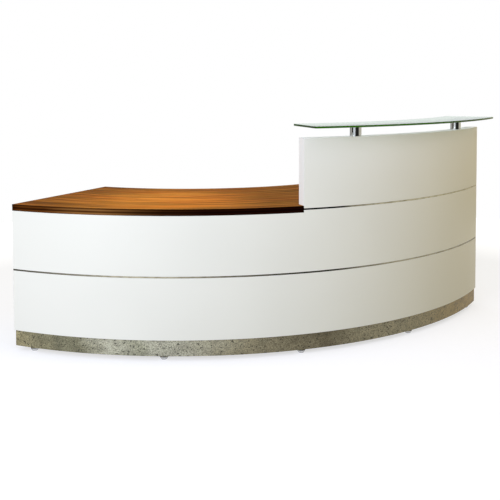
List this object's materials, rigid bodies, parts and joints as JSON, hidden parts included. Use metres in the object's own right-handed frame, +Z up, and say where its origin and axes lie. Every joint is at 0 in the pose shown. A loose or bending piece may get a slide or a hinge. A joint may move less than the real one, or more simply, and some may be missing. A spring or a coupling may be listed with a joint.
{
  "type": "reception desk",
  "caption": "Curved reception desk with a wood worktop, a raised white wall that carries a glass shelf on chrome standoffs, metal trim strips, a steel plinth and levelling feet.",
  "frame": {"origin": "on the floor, under the middle of the desk's bounding box", "axes": "+Z up, the convex front faces -Y, the raised half is at +X"},
  "size_m": [2.7532, 1.2248, 1.136],
  "materials": {
    "white_laminate": "satin white laminate",
    "walnut_top": "satin walnut laminate",
    "dark_edging": "grooved dark edging",
    "frame_timber": "bare plywood",
    "strip_metal": "dull metal strip",
    "plinth_steel": "speckled steel sheet",
    "plinth_board": "steel-faced board",
    "chrome": "polished chrome",
    "zinc_steel": "zinc-plated steel",
    "clear_glass": "clear glass, green edge"
  },
  "bodies": {
    "desk": {"lower_front_panel": "white_laminate", "desk_front_panel": "white_laminate", "counter_front_panel": "white_laminate", "raised_front_panel": "white_laminate", "lower_back_panel": "white_laminate", "raised_back_panel": "white_laminate", "raised_left_stile": "white_laminate", "raised_right_cap": "white_laminate", "raised_top_cap": "white_laminate", "left_end_panel": "white_laminate", "centre_panel": "white_laminate", "right_end_panel": "white_laminate", "worktop": "walnut_top", "front_edging": "dark_edging", "inner_edging": "dark_edging", "left_edging": "dark_edging", "right_edging": "dark_edging", "base_rail": "frame_timber", "upright_1": "frame_timber", "upright_2": "frame_timber", "upright_3": "frame_timber", "upright_4": "frame_timber", "middle_strip": "strip_metal", "upper_strip": "strip_metal", "plinth_cover": "plinth_steel", "left_end_plinth": "plinth_board", "centre_plinth": "plinth_board", "right_end_plinth": "plinth_board", "standoff_post_1": "chrome", "standoff_post_2": "chrome", "standoff_disc_1": "chrome", "standoff_disc_2": "chrome", "standoff_bolt_1": "zinc_steel", "standoff_bolt_2": "zinc_steel", "front_foot_1_insert": "zinc_steel", "front_foot_2_insert": "zinc_steel", "front_foot_3_insert": "zinc_steel", "front_foot_4_insert": "zinc_steel", "front_foot_5_insert": "zinc_steel", "rear_left_foot_insert": "zinc_steel", "rear_centre_foot_insert": "zinc_steel", "rear_right_foot_insert": "zinc_steel", "glass_shelf": "clear_glass"},
    "front_foot_1_pad": {"front_foot_1_pad": "chrome"},
    "front_foot_1_stem": {"front_foot_1_stem": "zinc_steel"},
    "front_foot_2_pad": {"front_foot_2_pad": "chrome"},
    "front_foot_2_stem": {"front_foot_2_stem": "zinc_steel"},
    "front_foot_3_pad": {"front_foot_3_pad": "chrome"},
    "front_foot_3_stem": {"front_foot_3_stem": "zinc_steel"},
    "front_foot_4_pad": {"front_foot_4_pad": "chrome"},
    "front_foot_4_stem": {"front_foot_4_stem": "zinc_steel"},
    "front_foot_5_pad": {"front_foot_5_pad": "chrome"},
    "front_foot_5_stem": {"front_foot_5_stem": "zinc_steel"},
    "rear_left_foot_pad": {"rear_left_foot_pad": "chrome"},
    "rear_left_foot_stem": {"rear_left_foot_stem": "zinc_steel"},
    "rear_centre_foot_pad": {"rear_centre_foot_pad": "chrome"},
    "rear_centre_foot_stem": {"rear_centre_foot_stem": "zinc_steel"},
    "rear_right_foot_pad": {"rear_right_foot_pad": "chrome"},
    "rear_right_foot_stem": {"rear_right_foot_stem": "zinc_steel"}
  },
  "joints": [
    {"name": "front_foot_1_height", "type": "slide", "parent": "desk", "child": "front_foot_1_pad", "axis": [0, 0, 1], "range_m": [-0.0195, 0.006]},
    {"name": "front_foot_1_turn", "type": "hinge", "parent": "front_foot_1_pad", "child": "front_foot_1_stem", "pos_m": [-1.27885, 0.00588, 0.022], "axis": [0, 0, 1], "range_deg": [-4685, 1445]},
    {"name": "front_foot_2_height", "type": "slide", "parent": "desk", "child": "front_foot_2_pad", "axis": [0, 0, 1], "range_m": [-0.0195, 0.006]},
    {"name": "front_foot_2_turn", "type": "hinge", "parent": "front_foot_2_pad", "child": "front_foot_2_stem", "pos_m": [-0.69699, -0.35068, 0.022], "axis": [0, 0, 1], "range_deg": [-4685, 1445]},
    {"name": "front_foot_3_height", "type": "slide", "parent": "desk", "child": "front_foot_3_pad", "axis": [0, 0, 1], "range_m": [-0.0195, 0.006]},
    {"name": "front_foot_3_turn", "type": "hinge", "parent": "front_foot_3_pad", "child": "front_foot_3_stem", "pos_m": [-0.026, -0.47504, 0.022], "axis": [0, 0, 1], "range_deg": [-4685, 1445]},
    {"name": "front_foot_4_height", "type": "slide", "parent": "desk", "child": "front_foot_4_pad", "axis": [0, 0, 1], "range_m": [-0.0195, 0.006]},
    {"name": "front_foot_4_turn", "type": "hinge", "parent": "front_foot_4_pad", "child": "front_foot_4_stem", "pos_m": [0.64499, -0.35068, 0.022], "axis": [0, 0, 1], "range_deg": [-4685, 1445]},
    {"name": "front_foot_5_height", "type": "slide", "parent": "desk", "child": "front_foot_5_pad", "axis": [0, 0, 1], "range_m": [-0.0195, 0.006]},
    {"name": "front_foot_5_turn", "type": "hinge", "parent": "front_foot_5_pad", "child": "front_foot_5_stem", "pos_m": [1.22685, 0.00588, 0.022], "axis": [0, 0, 1], "range_deg": [-4685, 1445]},
    {"name": "rear_left_foot_height", "type": "slide", "parent": "desk", "child": "rear_left_foot_pad", "axis": [0, 0, 1], "range_m": [-0.0195, 0.006]},
    {"name": "rear_left_foot_turn", "type": "hinge", "parent": "rear_left_foot_pad", "child": "rear_left_foot_stem", "pos_m": [-0.8869, 0.51025, 0.022], "axis": [0, 0, 1], "range_deg": [-4685, 1445]},
    {"name": "rear_centre_foot_height", "type": "slide", "parent": "desk", "child": "rear_centre_foot_pad", "axis": [0, 0, 1], "range_m": [-0.0195, 0.006]},
    {"name": "rear_centre_foot_turn", "type": "hinge", "parent": "rear_centre_foot_pad", "child": "rear_centre_foot_stem", "pos_m": [-0.026, 0.16131, 0.022], "axis": [0, 0, 1], "range_deg": [-4685, 1445]},
    {"name": "rear_right_foot_height", "type": "slide", "parent": "desk", "child": "rear_right_foot_pad", "axis": [0, 0, 1], "range_m": [-0.0195, 0.006]},
    {"name": "rear_right_foot_turn", "type": "hinge", "parent": "rear_right_foot_pad", "child": "rear_right_foot_stem", "pos_m": [0.8349, 0.51025, 0.022], "axis": [0, 0, 1], "range_deg": [-4685, 1445]}
  ],
  "couplings": [
    {"joint": "front_foot_1_turn", "follows": "front_foot_1_height", "rad_per_m": 4188.8},
    {"joint": "front_foot_2_turn", "follows": "front_foot_2_height", "rad_per_m": 4188.8},
    {"joint": "front_foot_3_turn", "follows": "front_foot_3_height", "rad_per_m": 4188.8},
    {"joint": "front_foot_4_turn", "follows": "front_foot_4_height", "rad_per_m": 4188.8},
    {"joint": "front_foot_5_turn", "follows": "front_foot_5_height", "rad_per_m": 4188.8},
    {"joint": "rear_left_foot_turn", "follows": "rear_left_foot_height", "rad_per_m": 4188.8},
    {"joint": "rear_centre_foot_turn", "follows": "rear_centre_foot_height", "rad_per_m": 4188.8},
    {"joint": "rear_right_foot_turn", "follows": "rear_right_foot_height", "rad_per_m": 4188.8}
  ]
}
